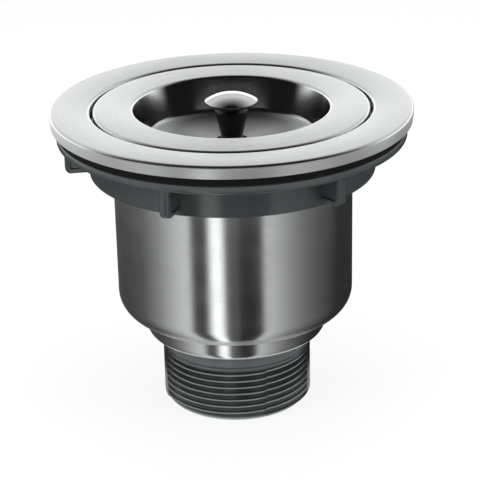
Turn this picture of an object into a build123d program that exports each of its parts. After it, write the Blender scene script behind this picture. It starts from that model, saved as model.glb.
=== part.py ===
"""Basket strainer waste for a kitchen sink, in millimetres.

The origin is the centre of the seat plane, where the rim of the flange stands on the sink.
+Z is up, out of the sink. The cup, the lock nut and the outlet are turned round Z.
"""

import os
from math import cos, radians, sin

from build123d import *

os.makedirs("parts", exist_ok=True)

# Strainer body, one pressing of stainless sheet. Radii and depths are those of its wet side.
body_sheet = 0.8
lid_pocket_radius = 43.7
flange_width = 12.6  # from the pocket to where the flange's top would meet the rim
flange_height = 3.96
flange_fall = 0.3  # from the rim to the inner lip
rim_lean = 0.4  # the rim's foot stands this far inside its top
rim_bend = 0.9
lip_bend = 1.0
lid_pocket_depth = 3.86
ledge_width = 3.1
ledge_bend = 0.8
well_depth = 15.8
well_bend = 1.2
shoulder_width = 3.95
shoulder_bend = 1.0
cup_depth = 45.8
cup_lip_bend = 1.6
cup_floor_width = 8.65
cup_floor_fall = 1.0  # from the wall to the step
cup_corner = 6.2
step_depth = 7.15
step_top_bend = 1.6
step_corner = 1.7
waste_hole_margin = 1.0  # outside the outlet's throat

# Lid, one pressing, and its seal
lid_sheet = 0.7
lid_gap = 0.8  # all round, to the pocket wall
lid_sink = 0.05  # the lid's top lies this far under the lip
lid_bend = 1.0
lid_ring_width = 12.35
lid_seal_foot = 1.2
lid_seal_foot_inset = 0.3
lid_seal_width = 1.4
lid_seal_gap = 0.1
dish_depth = 11.65
dish_lean = 2.75  # the dish narrows this much to its floor
dish_edge_bend = 1.0
dish_corner = 2.4

# Knob
knob_hole_radius = 2.1
knob_foot_radius = 5.0
knob_foot_height = 0.6
knob_waist_radius = 3.4
knob_waist_height = 1.9  # over the dish floor
knob_neck_radius = 4.8
knob_neck_height = 8.2
knob_brim_radius = 8.3
knob_brim_height = 12.5
knob_brim_edge = 0.5
cap_inset = 0.24
cap_edge = 0.2
cap_dome = 2.8
cap_spigot_radius = 2.6
cap_spigot_length = 9.0
screw_thread_clearance = 0.05
press_gap = 0.02  # round a spigot or an insert that is pressed in
knob_screw_radius = 1.65
knob_screw_length = 10.0
knob_screw_head_radius = 3.4
knob_screw_head_height = 2.2
knob_washer_radius = 4.4
knob_washer_thickness = 0.8

# Basket
basket_sheet = 0.6
basket_rim_gap = 1.2  # from the rim's edge to the well
basket_wall_gap = 1.65  # from the wall's top to the cup
basket_floor_gap = 8.4  # from the basket's floor to the cup's
basket_lean = 2.0  # the wall narrows this much to its floor
basket_rim_bend = 1.4
basket_corner = 4.0
wall_hole_radius = 2.0
wall_hole_rows = 3
wall_hole_first = 8.2  # from the rim to the first row
wall_hole_pitch = 9.0
wall_hole_count = 18
floor_hole_radius = 2.2
floor_hole_pitch = 9.0  # from the middle hole to the first ring, and from ring to ring
floor_hole_ring_count = 2
ring_hole_count = 6  # in the first ring, and as many more in each ring after it
ear_width = 6.0
ear_sheet = 0.7
ear_length = 3.6  # from the eye down the wall
ear_gap = 0.05
bail_wire_radius = 1.0
bail_eye_clearance = 0.15
bail_rim_gap = 0.1
bail_overhang = 1.0  # of the bow outside the basket's wall
bail_end_bend = 2.0
bail_end_reach = 1.6

# Flange seal, sink gasket and friction washer
seal_rim_gap = 1.3  # from the rim's foot
seal_neck_gap = 0.3  # from the outside of the lid pocket
seal_top_gap = 0.1
gasket_thickness = 2.3
gasket_edge = 0.4
friction_washer_thickness = 0.5
friction_washer_inset = 1.1

# Lock nut
nut_flange_inset = 0.3  # from the gasket's edge
nut_flange_thickness = 2.75
nut_wall = 2.9
nut_height = 13.45
nut_thread_clearance = 0.3
nut_top_edge = 0.3
nut_flange_edge = 1.0
nut_root = 0.8
nut_bottom_edge = 0.4
lug_count = 6
lug_first_angle = -112.5  # from +X round +Z
lug_inset = 2.1  # from the nut's flange
lug_thickness = 3.4
lug_height = 9.3  # under the nut's flange
lug_corner = 1.8
lug_edge = 1.2
lug_border = 1.6  # round the sunk panel in each side of a lug
lug_panel_depth = 0.5
lug_panel_corner = 0.8

# Outlet
outlet_seal_thickness = 1.4
outlet_seal_hole_gap = 0.2  # outside the waste hole
outlet_seal_collar_gap = 0.6  # inside the collar's edge
outlet_thread_radius = 23.82  # over the crests
outlet_thread_length = 19.35
outlet_wall = 3.52
outlet_chamfer = 1.5
outlet_bore_length = 11.6
collar_height = 2.7
collar_proud = 0.26
throat_step = 0.5
spider_arms = 4
spider_arm_thickness = 2.6
spider_arm_height = 7.0
spider_overlap = 0.8  # of each arm into the boss and the wall
boss_wall = 2.6
boss_height = 12.0
boss_top_gap = 0.3

# Grate, its screw and the insert in the outlet's boss
grate_gap = 0.3  # from the step's corner
grate_thickness = 1.0
grate_hole_radius = 2.0
grate_hole_first_ring = 8.6
grate_hole_pitch = 4.7
grate_hole_ring_count = 3
centre_screw_radius = 2.95
centre_screw_clearance = 0.3
centre_screw_length = 12.0
centre_screw_head_radius = 5.0
centre_screw_head_height = 3.0
screw_washer_radius = 6.2
screw_washer_thickness = 0.8
insert_radius = 4.2
insert_length = 8.0
cross_width = 1.2
cross_depth = 1.2
screw_head_edge = 0.6

# The body's levels and radii that follow from the sizes above
lip_level = flange_height - flange_fall
ledge_level = lip_level - lid_pocket_depth
shoulder_level = ledge_level - well_depth
cup_floor_level = shoulder_level - cup_depth
step_top_level = cup_floor_level - cup_floor_fall
step_level = step_top_level - step_depth
rim_radius = lid_pocket_radius + flange_width
rim_foot_radius = rim_radius - rim_lean
well_radius = lid_pocket_radius - ledge_width
cup_radius = well_radius - shoulder_width
step_radius = cup_radius - cup_floor_width

# The lid and the knob
lid_radius = lid_pocket_radius - lid_gap
lid_top_level = lip_level - lid_sink
lid_foot_level = ledge_level + lid_seal_foot
dish_radius = lid_radius - lid_ring_width
dish_floor_radius = dish_radius - dish_lean
dish_level = lid_top_level - dish_depth
knob_top_level = dish_level + knob_brim_height + knob_brim_edge
cap_radius = knob_brim_radius - cap_inset
spigot_end_level = knob_top_level - cap_spigot_length
knob_washer_level = dish_level - lid_sheet
knob_screw_level = knob_washer_level - knob_washer_thickness

# The basket
basket_rim_radius = well_radius - basket_rim_gap
basket_top_radius = cup_radius - basket_wall_gap
basket_floor_radius = basket_top_radius - basket_lean
basket_rim_level = shoulder_level + basket_sheet
basket_floor_level = cup_floor_level + basket_floor_gap
bail_bow_radius = basket_top_radius + bail_overhang
bail_level = basket_rim_level + bail_wire_radius + bail_rim_gap
ear_taper = basket_lean / (basket_rim_level - basket_floor_level) * ear_length
ear_wall_radius = basket_top_radius - basket_sheet - ear_taper
ear_radius = (ear_wall_radius**2 - (ear_width / 2) ** 2) ** 0.5 - ear_gap

# The rings and the lock nut
seal_outer_radius = rim_foot_radius - seal_rim_gap
seal_inner_radius = lid_pocket_radius + body_sheet + seal_neck_gap
friction_washer_radius = seal_outer_radius - friction_washer_inset
nut_bore_radius = well_radius + body_sheet + nut_thread_clearance
nut_wall_radius = nut_bore_radius + nut_wall
nut_flange_radius = seal_outer_radius - nut_flange_inset
lug_tip_radius = nut_flange_radius - lug_inset
nut_top_level = -gasket_thickness - friction_washer_thickness
nut_lug_level = nut_top_level - nut_flange_thickness

# The outlet and what the centre screw holds
collar_radius = outlet_thread_radius + collar_proud
outlet_bore_radius = outlet_thread_radius - outlet_wall
throat_radius = outlet_bore_radius - throat_step
waste_hole_radius = throat_radius + waste_hole_margin
outlet_seal_inner_radius = waste_hole_radius + outlet_seal_hole_gap
outlet_seal_outer_radius = collar_radius - outlet_seal_collar_gap
outlet_top_level = step_level - body_sheet - outlet_seal_thickness
collar_level = outlet_top_level - collar_height
outlet_end_level = collar_level - outlet_thread_length
boss_radius = insert_radius + boss_wall
boss_top_level = step_level - boss_top_gap
grate_radius = step_radius - step_corner - grate_gap
grate_level = step_level + grate_thickness
centre_screw_level = grate_level + screw_washer_thickness


def sheet_section(points, bends, thickness):
    """Fill the section of a pressed sheet that lies to the left of the line through the points."""
    with BuildLine() as face_line:
        FilletPolyline(*points, radius=bends)
        offset(amount=thickness, side=Side.LEFT)
    make_face(face_line.edges())


def turned_section(*points):
    """Fill a section given by its corners, radius first and level second."""
    with BuildLine() as outline:
        Polyline(*points, close=True)
    make_face(outline.edges())


def driver_cross(plane, size):
    """Cut the driver's cross into a screw head, from a plane on the head's top."""
    with BuildSketch(plane) as cross:
        Rectangle(size, cross_width)
        Rectangle(cross_width, size)
    extrude(cross.sketch, amount=-cross_depth, mode=Mode.SUBTRACT)


# The body is drawn along its wet side, from the rim's foot to the waste hole
with BuildPart() as strainer_body:
    with BuildSketch(Plane.XZ):
        sheet_section(
            [
                (rim_foot_radius, 0),
                (rim_radius, flange_height),
                (lid_pocket_radius, lip_level),
                (lid_pocket_radius, ledge_level),
                (well_radius, ledge_level),
                (well_radius, shoulder_level),
                (cup_radius, shoulder_level),
                (cup_radius, cup_floor_level),
                (step_radius, step_top_level),
                (step_radius, step_level),
                (waste_hole_radius, step_level),
            ],
            [
                rim_bend,
                lip_bend,
                ledge_bend,
                well_bend,
                shoulder_bend,
                cup_lip_bend,
                cup_corner,
                step_top_bend,
                step_corner,
            ],
            body_sheet,
        )
    revolve(axis=Axis.Z)
strainer_body.part.label = "strainer_body"
export_step(strainer_body.part, "parts/strainer_body.step")

# The lid's edge is turned down, and its middle is dished for the knob
with BuildPart() as lid:
    with BuildSketch(Plane.XZ):
        sheet_section(
            [
                (lid_radius, lid_foot_level),
                (lid_radius, lid_top_level),
                (dish_radius, lid_top_level),
                (dish_floor_radius, dish_level),
                (knob_hole_radius, dish_level),
            ],
            [lid_bend, dish_edge_bend, dish_corner],
            lid_sheet,
        )
    revolve(axis=Axis.Z)
lid.part.label = "lid"
export_step(lid.part, "parts/lid.step")

# The seal fills the turned-down edge and stands on the ledge
with BuildPart() as lid_seal:
    seal_outside = lid_radius - lid_sheet - lid_seal_gap
    seal_inside = seal_outside - lid_seal_width
    seal_top_level = lid_top_level - lid_sheet - lid_seal_gap
    with BuildSketch(Plane.XZ):
        turned_section(
            (seal_inside, ledge_level),
            (lid_radius - lid_seal_foot_inset, ledge_level),
            (lid_radius - lid_seal_foot_inset, lid_foot_level),
            (seal_outside, lid_foot_level),
            (seal_outside, seal_top_level),
            (seal_inside, seal_top_level),
        )
    revolve(axis=Axis.Z)
lid_seal.part.label = "lid_seal"
export_step(lid_seal.part, "parts/lid_seal.step")

# The knob is waisted above its foot and flares under the brim that carries the cap
with BuildPart() as knob_stem:
    with BuildSketch(Plane.XZ):
        with BuildLine():
            foot = Polyline(
                (0, dish_level),
                (knob_foot_radius, dish_level),
                (knob_foot_radius, dish_level + knob_foot_height),
            )
            root = Spline(
                foot @ 1,
                (knob_waist_radius, dish_level + knob_waist_height),
                tangents=[(-1, 0.15), (0, 1)],
            )
            neck = Line(root @ 1, (knob_neck_radius, dish_level + knob_neck_height))
            flare = Spline(
                neck @ 1,
                (knob_brim_radius, dish_level + knob_brim_height),
                tangents=[(0.35, 1), (1, 0.75)],
            )
            Polyline(flare @ 1, (knob_brim_radius, knob_top_level), (0, knob_top_level), foot @ 0)
        make_face()
    revolve(axis=Axis.Z)
    with BuildSketch(Plane.XY.offset(knob_top_level)):
        Circle(cap_spigot_radius + press_gap)
    extrude(amount=spigot_end_level - knob_top_level, mode=Mode.SUBTRACT)
    with BuildSketch(Plane.XY.offset(dish_level)):
        Circle(knob_hole_radius)
    extrude(amount=spigot_end_level - dish_level, mode=Mode.SUBTRACT)
knob_stem.part.label = "knob_stem"
export_step(knob_stem.part, "parts/knob_stem.step")

# The cap is a low dome with a tapped spigot
with BuildPart() as knob_cap:
    cap_rim_level = knob_top_level + cap_edge
    with BuildSketch(Plane.XZ):
        with BuildLine():
            dome = TangentArc(
                (0, cap_rim_level + cap_dome),
                (cap_radius, cap_rim_level),
                tangent=(1, 0),
            )
            Polyline(
                dome @ 1,
                (cap_radius, knob_top_level),
                (cap_spigot_radius, knob_top_level),
                (cap_spigot_radius, spigot_end_level),
                (0, spigot_end_level),
                dome @ 0,
            )
        make_face()
    revolve(axis=Axis.Z)
    with BuildSketch(Plane.XY.offset(spigot_end_level)):
        Circle(knob_screw_radius + screw_thread_clearance)
    extrude(amount=knob_screw_length + knob_screw_level - spigot_end_level, mode=Mode.SUBTRACT)
knob_cap.part.label = "knob_cap"
export_step(knob_cap.part, "parts/knob_cap.step")

# The knob's screw comes up through the lid, with its head below
with BuildPart() as knob_screw:
    with BuildSketch(Plane.XY.offset(knob_screw_level)):
        Circle(knob_screw_head_radius)
    extrude(amount=-knob_screw_head_height)
    fillet(knob_screw.edges().sort_by(Axis.Z)[0], screw_head_edge)
    with BuildSketch(Plane.XY.offset(knob_screw_level)):
        Circle(knob_screw_radius)
    extrude(amount=knob_screw_length)
    head_top = knob_screw_level - knob_screw_head_height
    driver_cross(Plane((0, 0, head_top), z_dir=(0, 0, -1)), knob_screw_head_radius)
knob_screw.part.label = "knob_screw"
export_step(knob_screw.part, "parts/knob_screw.step")

with BuildPart() as knob_washer:
    with BuildSketch(Plane.XY.offset(knob_screw_level)):
        Circle(knob_washer_radius)
        Circle(knob_hole_radius, mode=Mode.SUBTRACT)
    extrude(amount=knob_washer_thickness)
knob_washer.part.label = "knob_washer"
export_step(knob_washer.part, "parts/knob_washer.step")

# The basket is a tapered cup with round holes, hung by its rim on the body's shoulder
with BuildPart() as basket:
    with BuildSketch(Plane.XZ):
        sheet_section(
            [
                (basket_rim_radius, basket_rim_level),
                (basket_top_radius - basket_sheet, basket_rim_level),
                (basket_floor_radius - basket_sheet, basket_floor_level),
                (0, basket_floor_level),
            ],
            [basket_rim_bend, basket_corner],
            basket_sheet,
        )
    revolve(axis=Axis.Z)
    wall_holes = []
    for row in range(wall_hole_rows):
        row_level = basket_rim_level - wall_hole_first - row * wall_hole_pitch
        half_step = 180 / wall_hole_count * (row % 2)
        for place in range(wall_hole_count):
            angle = radians(half_step + 360 / wall_hole_count * place)
            wall_holes.append(Plane((0, 0, row_level), z_dir=(cos(angle), sin(angle), 0)).location)
    with Locations(*wall_holes):
        Cylinder(
            wall_hole_radius,
            basket_top_radius,
            align=(Align.CENTER, Align.CENTER, Align.MIN),
            mode=Mode.SUBTRACT,
        )
    with BuildSketch(Plane.XY.offset(basket_floor_level)):
        Circle(floor_hole_radius)
        for ring in range(1, floor_hole_ring_count + 1):
            with PolarLocations(floor_hole_pitch * ring, ring_hole_count * ring):
                Circle(floor_hole_radius)
    extrude(amount=-basket_sheet, mode=Mode.SUBTRACT)
basket.part.label = "basket"
export_step(basket.part, "parts/basket.step")

# Two eyes for the bail stand inside the basket's rim
with BuildPart() as basket_ears:
    for side in (1, -1):
        with BuildSketch(
            Plane((side * ear_radius, 0, bail_level), x_dir=(0, side, 0), z_dir=(side, 0, 0))
        ):
            Circle(ear_width / 2)
            with Locations((0, -ear_length / 2)):
                Rectangle(ear_width, ear_length)
            Circle(bail_wire_radius + bail_eye_clearance, mode=Mode.SUBTRACT)
        extrude(amount=-ear_sheet)
basket_ears.part.label = "basket_ears"
export_step(basket_ears.part, "parts/basket_ears.step")

# The bail lies folded on the basket's rim, with its ends turned in through the eyes
with BuildPart() as basket_bail:
    bail_end = ear_radius - ear_sheet - bail_end_reach
    bend_start = bail_bow_radius - bail_end_bend
    with BuildLine(Plane.XY.offset(bail_level)) as bow:
        Line((bail_end, 0), (bend_start, 0))
        CenterArc((bend_start, bail_end_bend), bail_end_bend, -90, 90)
        CenterArc((0, bail_end_bend), bail_bow_radius, 0, 180)
        CenterArc((-bend_start, bail_end_bend), bail_end_bend, 180, 90)
        Line((-bend_start, 0), (-bail_end, 0))
    bow_path = bow.wire()
    with BuildSketch(Plane(bow_path @ 0, z_dir=bow_path % 0)):
        Circle(bail_wire_radius)
    sweep(path=bow_path)
basket_bail.part.label = "basket_bail"
export_step(basket_bail.part, "parts/basket_bail.step")

# The flange seal fills the hollow under the flange, level with the rim's foot
with BuildPart() as flange_seal:
    flange_slope = flange_fall / flange_width
    seal_roof = lip_level - body_sheet * (1 + flange_slope**2) ** 0.5 - seal_top_gap
    with BuildSketch(Plane.XZ):
        turned_section(
            (seal_inner_radius, 0),
            (seal_outer_radius, 0),
            (seal_outer_radius, seal_roof + flange_slope * (seal_outer_radius - lid_pocket_radius)),
            (seal_inner_radius, seal_roof + flange_slope * (seal_inner_radius - lid_pocket_radius)),
        )
    revolve(axis=Axis.Z)
flange_seal.part.label = "flange_seal"
export_step(flange_seal.part, "parts/flange_seal.step")

with BuildPart() as sink_gasket:
    with BuildSketch():
        Circle(seal_outer_radius)
        Circle(seal_inner_radius, mode=Mode.SUBTRACT)
    extrude(amount=-gasket_thickness)
    fillet(sink_gasket.edges().group_by(Axis.Z)[0], gasket_edge)
sink_gasket.part.label = "sink_gasket"
export_step(sink_gasket.part, "parts/sink_gasket.step")

with BuildPart() as friction_washer:
    with BuildSketch(Plane.XY.offset(nut_top_level)):
        Circle(friction_washer_radius)
        Circle(seal_inner_radius, mode=Mode.SUBTRACT)
    extrude(amount=friction_washer_thickness)
friction_washer.part.label = "friction_washer"
export_step(friction_washer.part, "parts/friction_washer.step")

# One lug of the lock nut, seen from the side: a fin with rounded edges and a sunk panel in each side
with BuildPart() as lug:
    lug_root = (nut_wall_radius + nut_bore_radius) / 2
    lug_top = (nut_top_level + nut_lug_level) / 2
    lug_foot = nut_lug_level - lug_height
    with BuildSketch(Plane.XZ):
        with BuildLine():
            FilletPolyline(
                (lug_root, lug_top),
                (lug_tip_radius, lug_top),
                (lug_tip_radius, lug_foot),
                (lug_root, lug_foot),
                radius=[0, lug_corner],
            )
            Line((lug_root, lug_foot), (lug_root, lug_top))
        make_face()
    extrude(amount=lug_thickness / 2, both=True)
    outer_edges = lug.faces().filter_by(Axis.Y).edges().filter_by(
        lambda edge: edge.center().X > nut_wall_radius and edge.center().Z < lug_top
    )
    fillet(outer_edges, lug_edge)
    panel_width = lug_tip_radius - nut_wall_radius - 2 * lug_border
    panel_height = lug_top - lug_foot - lug_border
    for side in (1, -1):
        with BuildSketch(Plane.XZ.offset(side * lug_thickness / 2)):
            with Locations((nut_wall_radius + lug_border, lug_foot + lug_border)):
                RectangleRounded(
                    panel_width, panel_height, lug_panel_corner, align=(Align.MIN, Align.MIN)
                )
        extrude(amount=-side * lug_panel_depth, mode=Mode.SUBTRACT)

# The lock nut is a flanged ring with lugs to turn it by
with BuildPart() as lock_nut:
    with BuildSketch(Plane.XZ):
        with BuildLine():
            FilletPolyline(
                (nut_bore_radius, nut_top_level),
                (nut_flange_radius, nut_top_level),
                (nut_flange_radius, nut_lug_level),
                (nut_wall_radius, nut_lug_level),
                (nut_wall_radius, nut_top_level - nut_height),
                (nut_bore_radius, nut_top_level - nut_height),
                radius=[0, nut_top_edge, nut_flange_edge, nut_root, nut_bottom_edge, nut_bottom_edge],
                close=True,
            )
        make_face()
    revolve(axis=Axis.Z)
    with PolarLocations(0, lug_count, start_angle=lug_first_angle):
        add(lug.part)
lock_nut.part.label = "lock_nut"
export_step(lock_nut.part, "parts/lock_nut.step")

# The grate is a flat perforated disc on the floor of the step
with BuildPart() as bottom_grate:
    with BuildSketch(Plane.XY.offset(step_level)):
        Circle(grate_radius)
        Circle(centre_screw_radius + centre_screw_clearance, mode=Mode.SUBTRACT)
        for ring in range(grate_hole_ring_count):
            ring_radius = grate_hole_first_ring + grate_hole_pitch * ring
            with PolarLocations(ring_radius, ring_hole_count * (ring + 1)):
                Circle(grate_hole_radius, mode=Mode.SUBTRACT)
    extrude(amount=grate_thickness)
bottom_grate.part.label = "bottom_grate"
export_step(bottom_grate.part, "parts/bottom_grate.step")

with BuildPart() as screw_washer:
    with BuildSketch(Plane.XY.offset(grate_level)):
        Circle(screw_washer_radius)
        Circle(centre_screw_radius + centre_screw_clearance, mode=Mode.SUBTRACT)
    extrude(amount=screw_washer_thickness)
screw_washer.part.label = "screw_washer"
export_step(screw_washer.part, "parts/screw_washer.step")

# The centre screw clamps the grate, the body and the outlet together
with BuildPart() as centre_screw:
    with BuildSketch(Plane.XY.offset(centre_screw_level)):
        Circle(centre_screw_head_radius)
    extrude(amount=centre_screw_head_height)
    fillet(centre_screw.edges().sort_by(Axis.Z)[-1], screw_head_edge)
    with BuildSketch(Plane.XY.offset(centre_screw_level)):
        Circle(centre_screw_radius)
    extrude(amount=-centre_screw_length)
    driver_cross(
        Plane.XY.offset(centre_screw_level + centre_screw_head_height),
        centre_screw_head_radius,
    )
centre_screw.part.label = "centre_screw"
export_step(centre_screw.part, "parts/centre_screw.step")

with BuildPart() as thread_insert:
    with BuildSketch(Plane.XY.offset(boss_top_level)):
        Circle(insert_radius)
        Circle(centre_screw_radius + screw_thread_clearance, mode=Mode.SUBTRACT)
    extrude(amount=-insert_length)
thread_insert.part.label = "thread_insert"
export_step(thread_insert.part, "parts/thread_insert.step")

with BuildPart() as outlet_seal:
    with BuildSketch(Plane.XY.offset(outlet_top_level)):
        Circle(outlet_seal_outer_radius)
        Circle(outlet_seal_inner_radius, mode=Mode.SUBTRACT)
    extrude(amount=outlet_seal_thickness)
outlet_seal.part.label = "outlet_seal"
export_step(outlet_seal.part, "parts/outlet_seal.step")

# The outlet is a moulded pipe with a collar, a thread and a spider that carries the boss
with BuildPart() as outlet_pipe:
    with BuildSketch(Plane.XZ):
        turned_section(
            (throat_radius, outlet_top_level),
            (collar_radius, outlet_top_level),
            (collar_radius, collar_level),
            (outlet_thread_radius, collar_level),
            (outlet_thread_radius, outlet_end_level + outlet_chamfer),
            (outlet_thread_radius - outlet_chamfer, outlet_end_level),
            (outlet_bore_radius, outlet_end_level),
            (outlet_bore_radius, outlet_end_level + outlet_bore_length),
            (throat_radius, outlet_end_level + outlet_bore_length),
        )
    revolve(axis=Axis.Z)
    arm_length = throat_radius - boss_radius + 2 * spider_overlap
    with BuildSketch(Plane.XY.offset(outlet_top_level)):
        with PolarLocations((throat_radius + boss_radius) / 2, spider_arms):
            Rectangle(arm_length, spider_arm_thickness)
    extrude(amount=-spider_arm_height)
    with BuildSketch(Plane.XY.offset(boss_top_level)):
        Circle(boss_radius)
    extrude(amount=-boss_height)
    with BuildSketch(Plane.XY.offset(boss_top_level)):
        Circle(centre_screw_radius + centre_screw_clearance)
    extrude(amount=-boss_height, mode=Mode.SUBTRACT)
    with BuildSketch(Plane.XY.offset(boss_top_level)):
        Circle(insert_radius + press_gap)
    extrude(amount=-insert_length, mode=Mode.SUBTRACT)
outlet_pipe.part.label = "outlet_pipe"
export_step(outlet_pipe.part, "parts/outlet_pipe.step")
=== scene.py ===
"""Finished surfaces of a basket strainer waste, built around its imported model.

The file is laid out as an add-on: each piece has its own operator, and the sizes and
colours that a user would change are in property groups. Lengths are metres.
"""

from math import atan2, ceil, cos, pi, radians, sin, tan

import bmesh
import bpy
from bpy.props import FloatProperty, FloatVectorProperty, IntProperty, PointerProperty
from bpy.types import Operator, Panel, PropertyGroup
from mathutils import Matrix, Vector


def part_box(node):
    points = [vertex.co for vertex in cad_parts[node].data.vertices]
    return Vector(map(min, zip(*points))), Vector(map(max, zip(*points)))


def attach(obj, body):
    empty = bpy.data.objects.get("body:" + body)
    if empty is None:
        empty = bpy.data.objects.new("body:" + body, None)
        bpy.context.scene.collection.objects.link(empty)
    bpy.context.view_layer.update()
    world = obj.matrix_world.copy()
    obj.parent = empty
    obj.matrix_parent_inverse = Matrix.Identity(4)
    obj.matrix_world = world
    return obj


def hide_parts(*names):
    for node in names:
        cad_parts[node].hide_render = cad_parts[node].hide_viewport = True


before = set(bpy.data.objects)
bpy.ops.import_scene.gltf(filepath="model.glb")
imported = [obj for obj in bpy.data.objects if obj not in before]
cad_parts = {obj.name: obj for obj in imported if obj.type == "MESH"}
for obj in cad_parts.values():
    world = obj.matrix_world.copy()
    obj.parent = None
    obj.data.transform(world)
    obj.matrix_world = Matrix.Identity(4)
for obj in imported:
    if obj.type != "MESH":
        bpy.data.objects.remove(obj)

bl_info = {
    "name": "Basket Strainer Waste",
    "version": (1, 0, 0),
    "blender": (4, 5, 0),
    "location": "3D View > Sidebar > Strainer Waste",
    "description": "Builds the finished pieces of a basket strainer waste on its fixed frame",
    "category": "Object",
}

MM = 0.001
RING_SEGMENTS = 240
BEND_STEP = radians(9)
SHARP_ANGLE = radians(32)
WELD_DISTANCE = 0.002 * MM
# Drop between the first and the last point of a closed section, on the same wall
SECTION_GAP = 0.01 * MM
NUMBER = "NodeSocketFloat"

# Levels and radii that come from the frame
outlet_end_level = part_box("outlet_pipe")[0].z
nut_top_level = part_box("lock_nut")[1].z
nut_foot_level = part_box("lock_nut")[0].z
dish_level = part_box("knob_stem")[0].z
knob_brim_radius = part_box("knob_stem")[1].x
knob_top_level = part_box("knob_stem")[1].z
collar_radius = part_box("outlet_pipe")[1].x


def length(label, description, millimetres):
    """A size that a user may change, given in millimetres and kept in metres."""
    return FloatProperty(
        name=label,
        description=description,
        default=millimetres * MM,
        min=0.0,
        precision=5,
        unit="LENGTH",
        subtype="DISTANCE",
    )


def colour(label, description, red, green, blue):
    """A base colour that a user may change."""
    return FloatVectorProperty(
        name=label,
        description=description,
        default=(red, green, blue),
        min=0.0,
        max=1.0,
        size=3,
        subtype="COLOR",
    )


def share(label, description, value):
    """A plain number from 0 to 1 that a user may change."""
    return FloatProperty(
        name=label, description=description, default=value, min=0.0, max=1.0, subtype="FACTOR"
    )


def factor(label, description, value):
    """A plain number from 0 to 10 that a user may change."""
    return FloatProperty(name=label, description=description, default=value, min=0.0, max=10.0)


def turn(label, description, degrees):
    """An angle that a user may change, given in degrees."""
    return FloatProperty(
        name=label,
        description=description,
        default=radians(degrees),
        unit="ROTATION",
        subtype="ANGLE",
    )


class StrainerBodySizes(PropertyGroup):
    """Sizes of the pressed strainer body."""

    sheet: length("Sheet", "Thickness of the stainless sheet", 0.8)
    rim_radius: length("Rim radius", "Corner of the flange's top and its turned-down rim", 56.28)
    rim_foot_radius: length("Rim foot", "Foot of the turned-down rim", 55.9)
    rim_height: length("Rim height", "Corner of the rim above the sink", 3.96)
    rim_bend: length("Rim bend", "Bend at that corner", 0.9)
    lip_height: length("Lip height", "Lip round the lid above the sink", 3.66)
    lip_bend: length("Lip bend", "Bend at the lip", 1.0)
    pocket_radius: length("Pocket radius", "Wall of the lid's pocket", 43.7)
    ledge_drop: length("Ledge drop", "Ledge under the lid, below the lip", 3.86)
    ledge_bend: length("Ledge bend", "Bend between the pocket and the ledge", 0.8)
    well_radius: length("Well radius", "Inside of the well that carries the nut", 40.6)
    well_bend: length("Well bend", "Bend between the ledge and the well", 1.2)
    shoulder_drop: length("Shoulder drop", "Shoulder under the basket's rim, below the ledge", 15.8)
    shoulder_bend: length("Shoulder bend", "Bend between the well and the shoulder", 1.0)
    cup_radius: length("Cup radius", "Inside of the cup", 36.65)
    cup_lip_bend: length("Cup lip bend", "Bend between the shoulder and the cup", 1.6)
    cup_depth: length("Cup depth", "Floor of the cup below the shoulder", 45.8)
    cup_corner: length("Cup corner", "Bend at the foot of the cup", 6.2)
    floor_fall: length("Floor fall", "Fall of the cup's floor to the step", 1.0)
    step_radius: length("Step radius", "Inside of the step", 28.0)
    step_top_bend: length("Step top bend", "Bend at the top of the step", 1.6)
    step_depth: length("Step depth", "Depth of the step", 7.15)
    step_corner: length("Step corner", "Bend at the foot of the step", 1.7)
    waste_radius: length("Waste hole", "Radius of the waste hole", 20.8)


class LidSizes(PropertyGroup):
    """Sizes of the dished lid."""

    sheet: length("Sheet", "Thickness of the lid's sheet", 0.7)
    radius: length("Radius", "Outside of the lid's turned edge", 42.9)
    top_height: length("Top height", "Top of the lid above the sink", 3.61)
    foot_height: length("Foot height", "Foot of the turned edge above the sink", 1.0)
    edge_bend: length("Edge bend", "Bend of the turned edge", 1.0)
    dish_radius: length("Dish radius", "Upper edge of the dish", 30.55)
    dish_edge_bend: length("Dish edge bend", "Bend at that edge", 1.0)
    dish_floor_radius: length("Dish floor radius", "Corner of the dish's floor", 27.8)
    dish_corner: length("Dish corner", "Bend at the dish's floor", 2.4)
    knob_hole: length("Knob hole", "Hole for the knob's screw", 2.1)


class KnobSizes(PropertyGroup):
    """Sizes of the knob's stem and cap."""

    foot_radius: length("Foot radius", "Foot of the stem", 5.0)
    foot_height: length("Foot height", "Height of the foot", 0.6)
    foot_rise: length("Foot rise", "Rise of the foot's top to the waist", 0.5)
    edge: length("Edge", "Rounding of the foot and the brim", 0.2)
    waist_radius: length("Waist radius", "Narrowest place of the stem", 3.4)
    waist_height: length("Waist height", "Height of the waist over the dish", 1.9)
    waist_bend: length("Waist bend", "Rounding between the foot and the waist", 0.6)
    neck_radius: length("Neck radius", "Stem where its flare starts", 4.8)
    neck_height: length("Neck height", "Height of the neck over the dish", 8.2)
    flare_rise: factor("Flare rise", "Power of the flare's climb", 0.72)
    flare_spread: factor("Flare spread", "Power of the flare's widening", 2.1)
    brim_edge: length("Brim edge", "Height of the brim's upright edge", 0.5)
    brim_start: length("Brim start", "Rise from the flare to that edge", 0.05)
    stem_bore: length("Stem bore", "Hole under the spigot", 2.1)
    spigot_play: length("Spigot play", "Room round the spigot", 0.02)
    cap_inset: length("Cap inset", "Cap inside the brim", 0.24)
    cap_edge: length("Cap edge", "Upright edge of the cap", 0.2)
    cap_dome: length("Cap dome", "Height of the cap's dome", 2.2)
    cap_curve: factor("Cap curve", "Power of the dome's fall, flatter when higher", 2.3)
    spigot_radius: length("Spigot radius", "Spigot of the cap", 2.6)
    spigot_length: length("Spigot length", "Length of the spigot", 9.0)
    screw_radius: length("Screw radius", "Screw in the spigot", 1.7)
    screw_depth: length("Screw depth", "Depth of the screw in the spigot", 5.0)


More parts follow.
